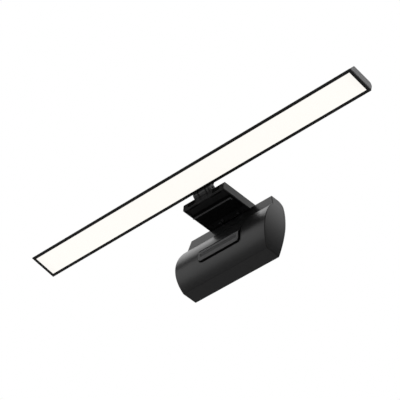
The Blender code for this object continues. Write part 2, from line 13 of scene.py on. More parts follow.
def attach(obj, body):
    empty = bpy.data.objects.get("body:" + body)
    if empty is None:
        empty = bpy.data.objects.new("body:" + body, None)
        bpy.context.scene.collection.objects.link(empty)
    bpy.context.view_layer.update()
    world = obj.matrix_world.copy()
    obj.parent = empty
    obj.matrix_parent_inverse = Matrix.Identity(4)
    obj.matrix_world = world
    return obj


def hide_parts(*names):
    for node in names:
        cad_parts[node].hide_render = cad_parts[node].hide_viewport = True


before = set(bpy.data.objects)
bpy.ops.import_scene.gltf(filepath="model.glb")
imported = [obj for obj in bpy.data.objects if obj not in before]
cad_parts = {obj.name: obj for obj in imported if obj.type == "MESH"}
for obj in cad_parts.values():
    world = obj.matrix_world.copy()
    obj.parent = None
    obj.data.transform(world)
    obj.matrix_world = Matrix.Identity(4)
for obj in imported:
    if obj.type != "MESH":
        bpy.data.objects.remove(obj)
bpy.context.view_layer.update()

MM = 0.001
BAR = Matrix.Translation((0.0, -40.2, 17.6)) @ Matrix.Rotation(math.radians(-8.9), 4, "X")
HERE = Matrix.Identity(4)

# Bar section
HALF_LENGTH = 225.0
HALF_DEPTH = 16.35
HEIGHT = 10.0
FRONT_LEAN = 0.48              # how far the front face leans back for each millimetre of height
HOUSING_LOW = 1.5
CAP = 2.2
WALL = 1.4
BORDER = 3.3
BEZEL = 1.2
TOUCH_U = 1.5
USB = (70.0, 4.4)

# Hinges and arm
TILT = (-23.4, 10.6)
CLAMP = (23.0, 4.6)
KNUCKLE = 4.1
ARM_HALF = 28.5
ARM_FRONT = -24.0
ARM_TOP = 9.2
PLATE = (1.3, 2.7)

# Counterweight
DRUM = (49.7, -42.0)
DRUM_RADIUS = 45.7
FLANGE_FOOT = -10.6
BODY_TOP = 2.5
BODY_BOTTOM = -70.6
BODY_REAR = 34.3
SPLIT = 31.6
BOW = (-53.9, -36.0, 117.0)
PAD_HALF = 28.0
PAD_TOP = -39.0
PAD_BOTTOM = -50.6


# Studio: each soft light's azimuth and elevation in degrees, and its strength
LIGHTS = ((225.0, 12.0, 1.22), (67.5, 38.0, 1.08), (157.5, 38.0, 0.53),
          (202.5, 38.0, 0.72), (60.0, 62.0, 0.26), (180.0, 62.0, 1.10))
FALLOFF = 10.0                 # a higher power makes each light narrower


# ---------------------------------------------------------------- shader maths
class Wire:
    """A socket that can be added, multiplied and so on with numbers or other sockets."""

    def __init__(self, sheet, socket):
        self.sheet, self.socket = sheet, socket

    def maths(self, operation, *values):
        return self.sheet.add("ShaderNodeMath", {"operation": operation}, *values)

    def __add__(self, other):
        return self.maths("ADD", self, other)

    def __sub__(self, other):
        return self.maths("SUBTRACT", self, other)

    def __rsub__(self, other):
        return self.maths("SUBTRACT", other, self)

    def __mul__(self, other):
        return self.maths("MULTIPLY", self, other)

    def __pow__(self, other):
        return self.maths("POWER", self, other)

    def __rpow__(self, other):
        return self.maths("POWER", other, self)

    __radd__ = __add__
    __rmul__ = __mul__

    def clipped(self):
        return self.sheet.add("ShaderNodeMath", {"operation": "ADD", "use_clamp": True}, self, 0.0)


class Sheet:
    """A node tree and the nodes that get added to it."""

    def __init__(self, tree, coordinate):
        self.tree = tree
        self.place = self.add("ShaderNodeTexCoord", {}, output=coordinate)

    def add(self, kind, settings, *values, output=0, **named):
        node = self.tree.nodes.new(kind)
        for key, value in settings.items():
            setattr(node, key, value)
        for key, value in [*enumerate(values), *named.items()]:
            self.plug(node.inputs[key if isinstance(key, int) else key.replace("_", " ")], value)
        return Wire(self, node.outputs[output])

    def plug(self, socket, value):
        if isinstance(value, Wire):
            self.tree.links.new(value.socket, socket)
        else:
            socket.default_value = value

    def noise(self, size, detail=2.0, stretch=(1.0, 1.0, 1.0), roughness=0.5):
        """Noise from 0 to 1 whose lumps are about size metres across."""
        scaled = self.add("ShaderNodeMapping", {}, Vector=self.place, Scale=stretch)
        return self.add("ShaderNodeTexNoise", {}, Vector=scaled, Scale=1.0 / size, Detail=detail,
                        Roughness=roughness)

    def shade(self, factor, dark, light):
        """A colour between dark and light."""
        node = self.tree.nodes.new("ShaderNodeMix")
        node.data_type = "RGBA"
        for index, value in ((0, factor), (6, dark), (7, light)):
            self.plug(node.inputs[index], (*value, 1.0) if isinstance(value, tuple) else value)
        return Wire(self, node.outputs[2])

    def absolute(self, letter):
        """Distance from the middle plane across one axis."""
        split = self.add("ShaderNodeSeparateXYZ", {}, self.place, output=letter)
        return self.add("ShaderNodeMath", {"operation": "ABSOLUTE"}, split)


class Finish(Sheet):
    """A procedural material: one Principled shader and the nodes that feed it."""

    def __init__(self, name, **constants):
        self.material = bpy.data.materials.new(name)
        self.material.use_nodes = True
        super().__init__(self.material.node_tree, "Object")
        self.shader = self.tree.nodes["Principled BSDF"]
        for socket, value in constants.items():
            self.shader.inputs[socket.replace("_", " ")].default_value = value

    def feed(self, **sockets):
        for socket, value in sockets.items():
            self.plug(self.shader.inputs[socket.replace("_", " ")], value)
        return self

    def bump(self, height, strength, distance):
        normal = self.add("ShaderNodeBump", {}, Strength=strength, Distance=distance, Height=height)
        return self.feed(Normal=normal)


def moulded(name, dark, light, gloss, grain=0.00035, depth=0.5, **constants):
    """Injection-moulded plastic with a fine spark-eroded texture."""
    made = Finish(name, **constants)
    speckle = made.noise(grain, 3.0)
    cloud = made.noise(0.018, 3.0)
    made.feed(Base_Color=made.shade(cloud * 0.6 + speckle * 0.4, dark, light),
              Roughness=cloud * 0.08 + speckle * 0.06 + gloss)
    return made.bump(speckle, depth, 0.00002).material


def anodised(name, dark, light):
    """Bead-blasted, anodised aluminium with faint drawing lines along the bar."""
    made = Finish(name, Metallic=0.75)
    lines = made.noise(0.0005, 2.0, (0.015, 1.0, 1.0))
    grain = made.noise(0.00018, 2.0)
    cloud = made.noise(0.03, 2.0)
    made.feed(Base_Color=made.shade(lines * 0.5 + cloud * 0.5, dark, light),
              Roughness=grain * 0.08 + lines * 0.06 + 0.34)
    return made.bump(grain * 0.6 + lines * 0.4, 0.5, 0.000015).material


def silicone(name, dark, light, **constants):
    """Matt moulded silicone with a dusty bloom."""
    made = Finish(name, **constants)
    grain = made.noise(0.0004, 4.0)
    bloom = made.noise(0.006, 4.0, roughness=0.65)
    made.feed(Base_Color=made.shade(bloom, dark, light), Roughness=bloom * 0.12 + 0.52)
    return made.bump(grain, 0.6, 0.00003).material


def opal():
    """Opal plate lit from behind: a little brighter over each row of chips, dimmer at the rim."""
    made = Finish("opal_plate", Roughness=0.42, IOR=1.49, Emission_Strength=1.0,
                  Subsurface_Weight=0.1, Subsurface_Scale=0.002)
    grain = made.noise(0.0003, 2.0)
    ripple = made.noise(0.05, 2.0, (1.0, 0.3, 0.3))
    rim = 1.0 - ((made.absolute("X") - 0.212) * 90.0).clipped() * 0.05
    glow = rim * (ripple * 0.03 + 0.985)
    made.feed(Base_Color=made.shade(grain, (0.30, 0.295, 0.275), (0.32, 0.315, 0.295)),
              Emission_Color=made.shade(glow, (0.0, 0.0, 0.0), (0.935, 0.914, 0.874)))
    return made.bump(grain, 0.2, 0.00001).material


def steel(name, colour, rough):
    """Plated steel with turning marks and small wear spots."""
    made = Finish(name, Metallic=1.0)
    scratch = made.noise(0.0003, 3.0, (1.0, 0.2, 1.0))
    worn = made.noise(0.002, 4.0, roughness=0.6)
    bright = tuple(min(1.0, part * 1.35) for part in colour)
    made.feed(Base_Color=made.shade(worn, colour, bright), Roughness=scratch * 0.14 + rough)
    return made.bump(scratch, 0.4, 0.00001).material


def cast():
    """Sand-cast iron, painted grey."""
    made = Finish("cast_iron_block", Metallic=0.6)
    lumps = made.noise(0.0009, 5.0, roughness=0.7)
    rust = made.noise(0.008, 4.0)
    made.feed(Base_Color=made.shade(rust, (0.10, 0.10, 0.105), (0.19, 0.185, 0.18)),
              Roughness=lumps * 0.25 + 0.5)
    return made.bump(lumps, 0.8, 0.0001).material


def board():
    """White solder mask with fine copper tracks under it."""
    made = Finish("circuit_board", Roughness=0.35, Coat_Weight=0.2)
    tracks = made.add("ShaderNodeTexBrick", {"offset": 0.37}, output=1, Vector=made.place, Scale=260.0,
                      Mortar_Size=0.06, Brick_Width=1.7, Row_Height=0.3)
    grain = made.noise(0.0004, 2.0)
    made.feed(Base_Color=made.shade(tracks, (0.74, 0.75, 0.71), (0.62, 0.66, 0.58)))
    return made.bump(tracks * 0.8 + grain * 0.2, 0.3, 0.00002).material


def reflector_film():
    """White diffuse reflector sheet."""
    made = Finish("white_reflector_sheet")
    grain = made.noise(0.0006, 3.0)
    made.feed(Base_Color=made.shade(grain, (0.84, 0.84, 0.82), (0.90, 0.90, 0.88)),
              Roughness=grain * 0.2 + 0.45)
    return made.bump(grain, 0.3, 0.00002).material


def touch_glass():
    """Black glass over a printed mask, faintly clouded by finger marks."""
    made = Finish("touch_glass", Coat_Weight=1.0, Coat_Roughness=0.04)
    smear = made.noise(0.004, 4.0, (0.6, 1.6, 1.0), 0.6)
    made.feed(Base_Color=made.shade(smear, (0.006, 0.006, 0.007), (0.010, 0.010, 0.011)),
              Roughness=smear * 0.16 + 0.08)
    return made.bump(smear, 0.05, 0.00002).material


def paint(name, dark, light, glow=0.0):
    made = Finish(name, Emission_Strength=glow)
    grain = made.noise(0.0003, 2.0)
    colour = made.shade(grain, dark, light)
    made.feed(Base_Color=colour, Roughness=grain * 0.2 + 0.4)
    if glow:
        made.feed(Emission_Color=colour)
    return made.material


def gold():
    made = Finish("gold_contacts", Metallic=1.0)
    grain = made.noise(0.0002, 2.0)
    made.feed(Base_Color=made.shade(grain, (0.70, 0.48, 0.20), (0.82, 0.60, 0.28)),
              Roughness=grain * 0.1 + 0.22)
    return made.material


ALUMINIUM = anodised("black_anodised_aluminium", (0.030, 0.030, 0.032), (0.044, 0.044, 0.046))
# Far lighter than the bar's aluminium: painted light for the bright light on the end faces.
LIT_CAP_METAL = anodised("end_cap_anodised_painted_light", (0.28, 0.28, 0.283), (0.33, 0.33, 0.333))
BODY_PLASTIC = moulded("satin_black_plastic", (0.020, 0.020, 0.0205), (0.029, 0.029, 0.0295), 0.24,
                       depth=0.3)
ARM_PLASTIC = moulded("textured_black_plastic", (0.026, 0.026, 0.0265), (0.036, 0.036, 0.0365), 0.33,
                      Specular_IOR_Level=0.9)
# A darker, duller copy of the black plastic for the parts under the arm: painted shade under the arm.
SHADED_UNDERSIDE = moulded("underside_plastic_painted_shade", (0.013, 0.013, 0.0134), (0.024, 0.024, 0.0246), 0.5,
                    grain=0.0005, depth=0.7, Specular_IOR_Level=0.2)
BEZEL_PLASTIC = moulded("bezel_black_plastic", (0.008, 0.008, 0.0082), (0.012, 0.012, 0.0123), 0.4,
                        depth=0.3, Specular_IOR_Level=0.5)
PAD_SILICONE = silicone("grip_silicone", (0.15, 0.15, 0.152), (0.19, 0.19, 0.192))
# A darker copy of the grip silicone: painted shade in the pad's sunk panel, so the raised rim reads lighter.
SHADED_PANEL_SILICONE = silicone("grip_panel_silicone_painted_shade", (0.070, 0.070, 0.071), (0.10, 0.10, 0.101))
SMOOTH_SILICONE = moulded("polished_silicone", (0.018, 0.018, 0.0185), (0.026, 0.026, 0.0265), 0.24,
                          depth=0.3)
# Near-black silicone with little shine: painted shade for the grip pad's backing, the hook rib, the rest pad
# and the arm's front strips.
BLACK_SHADE_SILICONE = silicone("near_black_painted_shade_silicone", (0.002, 0.002, 0.002), (0.004, 0.004, 0.004),
                         Specular_IOR_Level=0.15)
# Lighter silicone: painted highlight for the light line along the hook rib's lower edge.
BEAD_HIGHLIGHT_SILICONE = silicone("bead_silicone_painted_highlight", (0.10, 0.10, 0.102), (0.15, 0.15, 0.153))
OPAL = opal()
# A near-black sheet hidden behind the opal plate: painted shade, so the arm's front face sees no light from
# the plate.
SHADE_FILM = moulded("painted_shade_film", (0.004, 0.004, 0.004), (0.006, 0.006, 0.006), 0.6,
               Specular_IOR_Level=0.1)
GLASS = touch_glass()
MARKS = paint("touch_marks", (0.35, 0.36, 0.37), (0.50, 0.51, 0.52))
STEEL = steel("nickel_plated_steel", (0.46, 0.46, 0.47), 0.24)
BLACK_STEEL = steel("black_plated_steel", (0.12, 0.12, 0.125), 0.28)
DARK_STEEL = steel("blued_steel", (0.02, 0.02, 0.022), 0.4)
SPRING_STEEL = steel("spring_steel", (0.30, 0.29, 0.28), 0.3)
IRON = cast()
BOARD = board()
SHEET = reflector_film()
GOLD = gold()
CONNECTOR_PLASTIC = moulded("connector_plastic", (0.010, 0.010, 0.010), (0.02, 0.02, 0.02), 0.4)


# ---------------------------------------------------------------- shapes
def block(low, high):
    made = bmesh.new()
    bmesh.ops.create_cube(made, size=1.0)
    bmesh.ops.scale(made, vec=Vector(high) - Vector(low), verts=made.verts)
    bmesh.ops.translate(made, vec=(Vector(low) + Vector(high)) / 2, verts=made.verts)
    return made


def rod(radius, start, end, steps=48, far_radius=None):
    made = bmesh.new()
    start, end = Vector(start), Vector(end)
    run = end - start
    bmesh.ops.create_cone(made, cap_ends=True, segments=steps, radius1=radius,
                          radius2=radius if far_radius is None else far_radius, depth=run.length)
    turn = run.to_track_quat("Z", "Y").to_matrix().to_4x4()
    bmesh.ops.transform(made, matrix=Matrix.Translation((start + end) / 2) @ turn, verts=made.verts)
    return made


def bar_of(corners, low, high, place):
    """A closed outline of a few corners, run from low to high along the third axis of place."""
    made = bmesh.new()
    face = made.faces.new([made.verts.new((u, v, low)) for u, v in corners])
    run = bmesh.ops.extrude_face_region(made, geom=[face])["geom"]
    bmesh.ops.translate(made, vec=(0.0, 0.0, high - low),
                        verts=[v for v in run if isinstance(v, bmesh.types.BMVert)])
    bmesh.ops.transform(made, matrix=place, verts=made.verts)
    bmesh.ops.recalc_face_normals(made, faces=made.faces)
    return made


ALONG_X = Matrix(((0, 0, 1), (1, 0, 0), (0, 1, 0))).to_4x4()    # outline in Y and Z


def rounded(made, test, radius, steps=4):
    """Bevel the edges whose middle and direction pass the test."""
    chosen = [edge for edge in made.edges
              if test((edge.verts[0].co + edge.verts[1].co) / 2,
                      (edge.verts[1].co - edge.verts[0].co).normalized())]
    bmesh.ops.bevel(made, geom=chosen, offset=radius, offset_type="OFFSET", affect="EDGES",
                    segments=steps, profile=0.5, material=-1, clamp_overlap=True)
    return made


def near(a, b):
    return abs(a - b) < 0.01


def boolean(made, other, operation):
    """Both shapes are used up; the result is a new one."""
    objects = []
    for part in (made, other):
        mesh = bpy.data.meshes.new("blank")
        bmesh.ops.recalc_face_normals(part, faces=part.faces)
        part.to_mesh(mesh)
        part.free()
        objects.append(bpy.data.objects.new("blank", mesh))
        bpy.context.scene.collection.objects.link(objects[-1])
    step = objects[0].modifiers.new("step", "BOOLEAN")
    step.operation, step.solver, step.object = operation, "EXACT", objects[1]
    shown = objects[0].evaluated_get(bpy.context.evaluated_depsgraph_get())
    result = bmesh.new()
    result.from_mesh(shown.to_mesh())
    shown.to_mesh_clear()
    for item in objects:
        mesh = item.data
        bpy.data.objects.remove(item)
        bpy.data.meshes.remove(mesh)
    bmesh.ops.remove_doubles(result, verts=result.verts, dist=0.0005)
    return result


def cut(made, *others):
    for other in others:
        made = boolean(made, other, "DIFFERENCE")
    return made


def join(made, *others):
    for other in others:
        made = boolean(made, other, "UNION")
    return made


def merged(*shapes):
    """Several closed shapes in one mesh, side by side."""
    mesh = bpy.data.meshes.new("blank")
    made = bmesh.new()
    for part in shapes:
        part.to_mesh(mesh)
        part.free()
        made.from_mesh(mesh)
    bpy.data.meshes.remove(mesh)
    return made


def piece(name, made, body, material, nodes=(), place=HERE, edge=0.0, steps=2, angle=32.0):
    """Turn a shape in millimetres into an object that rides on a body."""
    mesh = bpy.data.meshes.new(name)
    bmesh.ops.transform(made, matrix=Matrix.Scale(MM, 4) @ place, verts=made.verts)
    bmesh.ops.recalc_face_normals(made, faces=made.faces)
    made.to_mesh(mesh)
    made.free()
    mesh.shade_smooth()
    mesh.set_sharp_from_angle(angle=math.radians(angle))
    item = bpy.data.objects.new(name, mesh)
    bpy.context.scene.collection.objects.link(item)
    mesh.materials.append(material)
    if edge:
        soft = item.modifiers.new("soft_edges", "BEVEL")
        soft.width = edge * MM
        soft.segments = steps
        soft.limit_method = "ANGLE"
        soft.angle_limit = math.radians(angle)
    flat = item.modifiers.new("flat_shading", "WEIGHTED_NORMAL")
    flat.keep_sharp = True
    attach(item, body)
    if nodes:
        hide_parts(*nodes)
    return item


# ---------------------------------------------------------------- lamp bar
def front(height):
    return -HALF_DEPTH + FRONT_LEAN * height


def bar_block(low, high):
    """The bar's section, rounded along its top edges."""
    made = bar_of([(front(HOUSING_LOW), HOUSING_LOW), (HALF_DEPTH, HOUSING_LOW),
                   (HALF_DEPTH, HEIGHT), (front(HEIGHT), HEIGHT)], low, high, ALONG_X)
    rounded(made, lambda m, d: near(abs(d.x), 1) and near(m.y, HALF_DEPTH) and near(m.z, HEIGHT), 5.0, 12)
    return rounded(made, lambda m, d: near(abs(d.x), 1) and near(m.y, front(HEIGHT)), 0.9, 5)


def make_housing():
    half = HALF_LENGTH - CAP - 0.12
    shell = bar_block(-half, half)
    open_faces = [f for f in shell.faces if abs(f.normal.x) > 0.9 or f.normal.z < -0.9]
    bmesh.ops.delete(shell, geom=open_faces, context="FACES")
    bmesh.ops.solidify(shell, geom=shell.faces[:], thickness=WALL)
    slot = rounded(block((-30.3, TOUCH_U - 3.8, 7.0), (30.3, TOUCH_U + 3.8, 12.0)),
                   lambda m, d: near(abs(d.z), 1), 0.8, 3)
    mouth = rounded(block((USB[0] - 4.8, 14.0, USB[1] - 1.9), (USB[0] + 4.8, 18.0, USB[1] + 1.9)),
                    lambda m, d: near(abs(d.y), 1), 1.85, 8)
    holes = [rod(1.05, (x, 12.0, 3.6), (x, 18.0, 3.6), 24) for x in (-8.0, 8.0)]
    shell = cut(shell, slot, mouth, *holes)
    piece("bar_extrusion", shell, "lamp", ALUMINIUM, ["bar_housing"], BAR, 0.14)


def make_end_caps():
    for side, name in ((-1, "end_cap_left"), (1, "end_cap_right")):
        inner, outer = side * (HALF_LENGTH - CAP), side * HALF_LENGTH
        cap = bar_block(min(inner, outer), max(inner, outer))
        # The cap takes the lighter metal, which paints the light on its end face.
        piece(name + "_moulding", cap, "lamp", LIT_CAP_METAL, [name], BAR, 0.35, 3)
        # spigot that plugs into the extrusion
        spigot = block((min(side * 219.2, inner), -6.5, 2.4), (max(side * 219.2, inner), 12.5, 8.2))
        piece(name + "_spigot", spigot, "lamp", ALUMINIUM, (), BAR, 0.5)


def make_lit_face():
    frame_face = bmesh.new()
    bmesh.ops.create_grid(frame_face, x_segments=1, y_segments=1, size=1.0)
    bmesh.ops.scale(frame_face, vec=(HALF_LENGTH, HALF_DEPTH, 1.0), verts=frame_face.verts)
    border = bmesh.ops.inset_region(frame_face, faces=frame_face.faces[:], thickness=BORDER,
                                    use_boundary=True, use_even_offset=True)["faces"]
    window = [face for face in frame_face.faces if face not in border]
    bmesh.ops.delete(frame_face, geom=window, context="FACES")
    ring = bmesh.ops.extrude_face_region(frame_face, geom=frame_face.faces[:])["geom"]
    bmesh.ops.translate(frame_face, vec=(0.0, 0.0, BEZEL),
                        verts=[v for v in ring if isinstance(v, bmesh.types.BMVert)])
    piece("lit_face_bezel", frame_face, "lamp", BEZEL_PLASTIC, ["bezel_frame"], BAR,
          0.22, 2)
    gap = BORDER + 0.12
    plate = block((-HALF_LENGTH + gap, -HALF_DEPTH + gap, 0.1), (HALF_LENGTH - gap, HALF_DEPTH - gap, 1.4))
    plate = piece("opal_plate", plate, "lamp", OPAL, ["diffuser"], BAR, 0.15, 2)
    plate.visible_diffuse = plate.visible_glossy = False
    # Black sheet behind the plate that paints shade on the parts facing the lit face.
    film = block((-HALF_LENGTH + 3.4, -HALF_DEPTH + 3.4, 1.42), (HALF_LENGTH - 3.4, HALF_DEPTH - 3.4, 1.48))
    piece("painted_shade_film", film, "lamp", SHADE_FILM, (), BAR)


def make_touch_strip():
    strip = block((-30.0, TOUCH_U - 3.5, 8.8), (30.0, TOUCH_U + 3.5, HEIGHT))
    rounded(strip, lambda m, d: near(abs(d.z), 1), 0.7, 5)
    piece("touch_strip", strip, "lamp", GLASS, ["touch_panel"], BAR, 0.15)
    marks = []
    top = HEIGHT + 0.02

    def ring(x, radius, width):
        rim = rod(radius, (x, TOUCH_U, HEIGHT - 0.1), (x, TOUCH_U, top), 40)
        return cut(rim, rod(radius - width, (x, TOUCH_U, HEIGHT - 1), (x, TOUCH_U, HEIGHT + 1), 40))

    marks.append(ring(0.0, 1.9, 0.3))
    marks.append(block((-0.16, TOUCH_U + 0.6, HEIGHT - 0.1), (0.16, TOUCH_U + 2.5, top + 0.01)))
    for x, radius in ((-20.0, 0.45), (-17.0, 0.65), (-13.6, 0.9), (13.6, 0.9), (17.0, 0.65), (20.0, 0.45)):
        marks.append(rod(radius, (x, TOUCH_U, HEIGHT - 0.1), (x, TOUCH_U, top), 24))
    for side in (-1, 1):
        marks.append(ring(side * 8.6, 1.0, 0.22))
    piece("touch_dots", merged(*marks), "lamp", MARKS, (), BAR)


def make_usb_socket():
    x, w = USB
    shell = rounded(block((x - 4.5, 9.4, w - 1.6), (x + 4.5, 16.2, w + 1.6)),
                    lambda m, d: near(abs(d.y), 1), 1.5, 8)
    mouth = rounded(block((x - 4.15, 10.2, w - 1.25), (x + 4.15, 17.0, w + 1.25)),
                    lambda m, d: near(abs(d.y), 1), 1.2, 8)
    piece("usb_c_shell", cut(shell, mouth), "lamp", STEEL, ["usb_c_socket"], BAR, 0.08)
    tongue = block((x - 3.3, 10.3, w - 0.35), (x + 3.3, 15.0, w + 0.35))
    piece("usb_c_tongue", tongue, "lamp", CONNECTOR_PLASTIC, (), BAR, 0.1)
    pins = [block((x - 2.84 + 0.5 * i, 10.8, w + side * 0.35 - 0.04),
                  (x - 2.58 + 0.5 * i, 14.7, w + side * 0.35 + 0.04)) for i in range(12) for side in (-1, 1)]
    piece("usb_c_contacts", merged(*pins), "lamp", GOLD, (), BAR)


# ---------------------------------------------------------------- screws
def screw(name, node, body, place, direction, head, height, length, material, frame_of=HERE):
    """A pan-head screw with a cross recess; place is under its head."""
    shape = rod(head, (0, 0, 0), (0, 0, height), 36)
    rounded(shape, lambda m, d: near(m.z, height) and near(d.z, 0), height * 0.6, 5)
    shank = rod(0.9, (0, 0, -length + 0.7), (0, 0, 0.2), 20)
    tip = rod(0.4, (0, 0, -length), (0, 0, -length + 0.75), 20, 0.9)
    shape = join(shape, shank, tip)
    depth = height * 0.45
    for turn in (0, 1):
        arm_size = (head * 0.62, 0.24)
        u, v = arm_size if turn else arm_size[::-1]
        shape = cut(shape, block((-u, -v, height - depth), (u, v, height + 1)))
    turn = Vector(direction).to_track_quat("Z", "Y").to_matrix().to_4x4()
    piece(name, shape, body, material, [node], frame_of @ Matrix.Translation(place) @ turn, 0.05)


def make_screws():
    for name, (x, y) in {"base_screw_left": (-12.5, 15.0), "base_screw_right": (12.5, 15.0),
                         "spring_stop_screw": (-7.5, 12.8)}.items():
        screw(name + "_plated", name, "arm", (x, y, 1.0), (0, 0, -1), 1.6, 0.8, 4.6, BLACK_STEEL)
    for x, name in ((-8.0, "lug_screw_left"), (8.0, "lug_screw_right")):
        screw(name + "_plated", name, "lamp", (x, 18.75, 3.6), (0, 1, 0), 1.8, 1.1, 6.0, BLACK_STEEL, BAR)
    for x, name in ((-8.0, "saddle_screw_left"), (8.0, "saddle_screw_right")):
        screw(name + "_plated", name, "clamp", (x, 24.5, -4.7), (0, 0, -1), 1.8, 1.0, 3.4, STEEL)
    for i, (x, z) in enumerate(((-22, -30), (22, -30), (-22, -52), (22, -52)), 1):
        screw(f"cover_screw_{i}_plated", f"cover_screw_{i}", "clamp", (x, 33.5, z), (0, 1, 0), 1.9, 0.7,
              6.0, BLACK_STEEL)


# ---------------------------------------------------------------- tilt hinge
def make_tilt_hinge():
    y, z = TILT
    local = BAR.inverted() @ Vector((0.0, y, z))
    foot = 16.65
    lug = rounded(block((-11.5, foot, 0.6), (11.5, foot + 1.8, 6.6)),
                  lambda m, d: near(abs(d.y), 1), 1.4, 5)
    web = block((-4.7, foot + 0.2, local.z), (4.7, foot + 1.6, 1.4))
    knuckle = rod(KNUCKLE, (-4.5, local.y, local.z), (4.5, local.y, local.z), 64)
    lug = join(lug, web, knuckle)
    lug = cut(lug, rod(1.3, (-6, local.y, local.z), (6, local.y, local.z), 40),
              *[rod(1.05, (x, 12.0, 3.6), (x, 20.0, 3.6), 24) for x in (-8.0, 8.0)])
    piece("tilt_lug_moulding", lug, "lamp", ARM_PLASTIC, ["tilt_lug"], BAR, 0.25)

    fork = block((-12.0, ARM_FRONT + 0.3, 2.5), (12.0, -15.5, 8.9))
    fork = cut(fork, rod(KNUCKLE + 0.5, (-5.3, y, z), (5.3, y, z), 64))
    for side in (-1, 1):
        low, high = sorted((side * 5.7, side * 12.0))
        fork = join(fork, block((low, ARM_FRONT + 0.3, 8.0), (high, -19.8, z)),
                    rod(KNUCKLE, (low, y, z), (high, y, z), 64))
    fork = cut(fork, cut(rod(5.0, (9.0, y, z), (9.5, y, z), 64), rod(3.6, (8, y, z), (11, y, z), 64)),
               *[block((x - 0.4, ARM_FRONT - 5, 1.0), (x + 0.4, ARM_FRONT + 1.6, 8.6))
                 for x in (-5.1, 5.1, 9.25)])
    fork = cut(fork, rod(1.3, (-14, y, z), (14, y, z), 40))
    piece("tilt_fork_moulding", fork, "arm", ARM_PLASTIC, ["tilt_fork"], HERE, 0.25)

    pin = rounded(rod(1.25, (-12.4, y, z), (12.4, y, z), 40), lambda m, d: near(abs(m.x), 12.4), 0.3, 3)
    pin = cut(pin, *[block((side * 12.0 - 0.5, y - 0.2, z - 1), (side * 12.0 + 0.5, y + 0.2, z + 1))
                     for side in (-1, 1)])
    piece("tilt_pin_turned", pin, "arm", DARK_STEEL, ["tilt_pin"])
    for side, name in ((-1, "friction_washer_left"), (1, "friction_washer_right")):
        washer = cut(rod(2.6, (side * 4.95, y, z), (side * 5.35, y, z), 48),
                     rod(1.35, (side * 4, y, z), (side * 6, y, z), 32))
        piece(name + "_stamped", washer, "arm", DARK_STEEL, [name], HERE, 0.06)


# ---------------------------------------------------------------- arm
def make_arm():
    y, z = CLAMP
    rear = y + z
    cover = block((-ARM_HALF, ARM_FRONT, 0.0), (ARM_HALF, rear, ARM_TOP))
    rounded(cover, lambda m, d: near(abs(d.x), 1) and near(m.y, rear), z - 0.002, 16)
    rounded(cover, lambda m, d: near(abs(d.x), 1) and near(m.y, ARM_FRONT) and near(m.z, ARM_TOP), 2.4, 8)
    rounded(cover, lambda m, d: near(abs(m.x), ARM_HALF) and near(d.x, 0), 0.7, 4)
    hollow = block((-ARM_HALF + WALL, ARM_FRONT + WALL, -1.0), (ARM_HALF - WALL, rear - WALL, ARM_TOP - WALL))
    rounded(hollow, lambda m, d: near(abs(d.x), 1) and near(m.y, rear - WALL) and m.z > 5, 3.19, 10)
    lip = block((-ARM_HALF + WALL, y, -2.0), (ARM_HALF - WALL, y + 9, 3.4))
    notch = rounded(block((-12.3, ARM_FRONT - 1, 2.2), (12.3, -15.2, 12.0)),
                    lambda m, d: near(abs(d.z), 1) and m.y > -20, 0.8, 3)
    cover = cut(cover, hollow, lip, notch)
    piece("arm_top_cover", cover, "arm", ARM_PLASTIC, ["arm_cover"], HERE, 0.16)
    # Near-black strips on the arm's front face: painted shade where the bar darkens it.
    for side in (-1, 1):
        low, high = sorted((side * 12.6, side * 22.0))
        strip = block((low, ARM_FRONT - 0.05, 1.5), (high, ARM_FRONT + 0.4, 7.0))
        name = "front_strip_" + ("left" if side < 0 else "right")
        piece(name, strip, "arm", BLACK_SHADE_SILICONE)

    half = ARM_HALF - WALL - 0.15
    front_edge, back_edge = ARM_FRONT + WALL + 0.15, 17.0
    plate = block((-half, front_edge, PLATE[0]), (half, back_edge, PLATE[1]))
    plate = cut(plate,
                block((-24.3, -11.5, 0.0), (24.3, -9.0, 4.0)),
                *[rod(1.05, (x, v, 0), (x, v, 4), 24) for x, v in ((-12.5, 15), (12.5, 15), (-7.5, 12.8))],
                *[block((low, -22.0, 1.0), (high, -19.8, 4.0)) for low, high in ((-22.0, -8.0), (8.0, 22.0))],
                *[rod(2.6, (x, v, 1.0), (x, v, 1.6), 40) for x, v in ((-12.5, 15), (12.5, 15))],
                block((-22.0, 9.6, 1.0), (-16.5, 14.6, 1.9)), block((16.5, 9.6, 1.0), (22.0, 14.6, 1.9)))
    # The plate takes the darker plastic, which paints the shade under the arm.
    piece("arm_underside_plate", plate, "arm", SHADED_UNDERSIDE, ["arm_base"], HERE, 0.15)

    # The rib is near-black: painted shade on its front face and in the gap behind it.
    rib = block((-26.0, -12.0, -2.3), (26.0, -8.5, 1.0))
    rounded(rib, lambda m, d: near(abs(m.x), 26) and not near(m.z, 1), 0.8, 4)
    rib = join(rib, block((-24.0, -11.2, 0.5), (24.0, -9.3, 2.5)))
    rib = cut(rib, *[block((-30, -12.6, h), (30, -11.75, h + 0.35)) for h in (-1.6, -0.7)])
    piece("hook_rib_moulding", rib, "arm", BLACK_SHADE_SILICONE, ["hook_rib"], HERE, 0.08)
    # The bead is lighter than the rib: painted highlight along the rib's lower edge.
    bead = join(block((-26.7, -11.1, -3.0), (26.2, -9.6, -2.2)),
                block((24.9, -10.0, -3.0), (26.2, -7.6, -2.2)))
    rounded(bead, lambda m, d: m.z < -2.9 or near(abs(d.z), 1), 0.35, 4)
    piece("hook_rib_bead", bead, "arm", BEAD_HIGHLIGHT_SILICONE)

    # Near-black: painted shade under the arm.
    pad = rounded(block((-25.0, -7.0, 0.0), (25.0, 9.0, 1.0)), lambda m, d: near(abs(d.z), 1), 2.0, 6)
    grooves = [block((-26, v - 0.25, -1), (26, v + 0.25, 0.3)) for v in (-3.8, -0.6, 2.6, 5.8)]
    pad = cut(pad, *grooves)
    piece("rest_pad_moulding", pad, "arm", BLACK_SHADE_SILICONE, ["rest_pad"], HERE, 0.1)


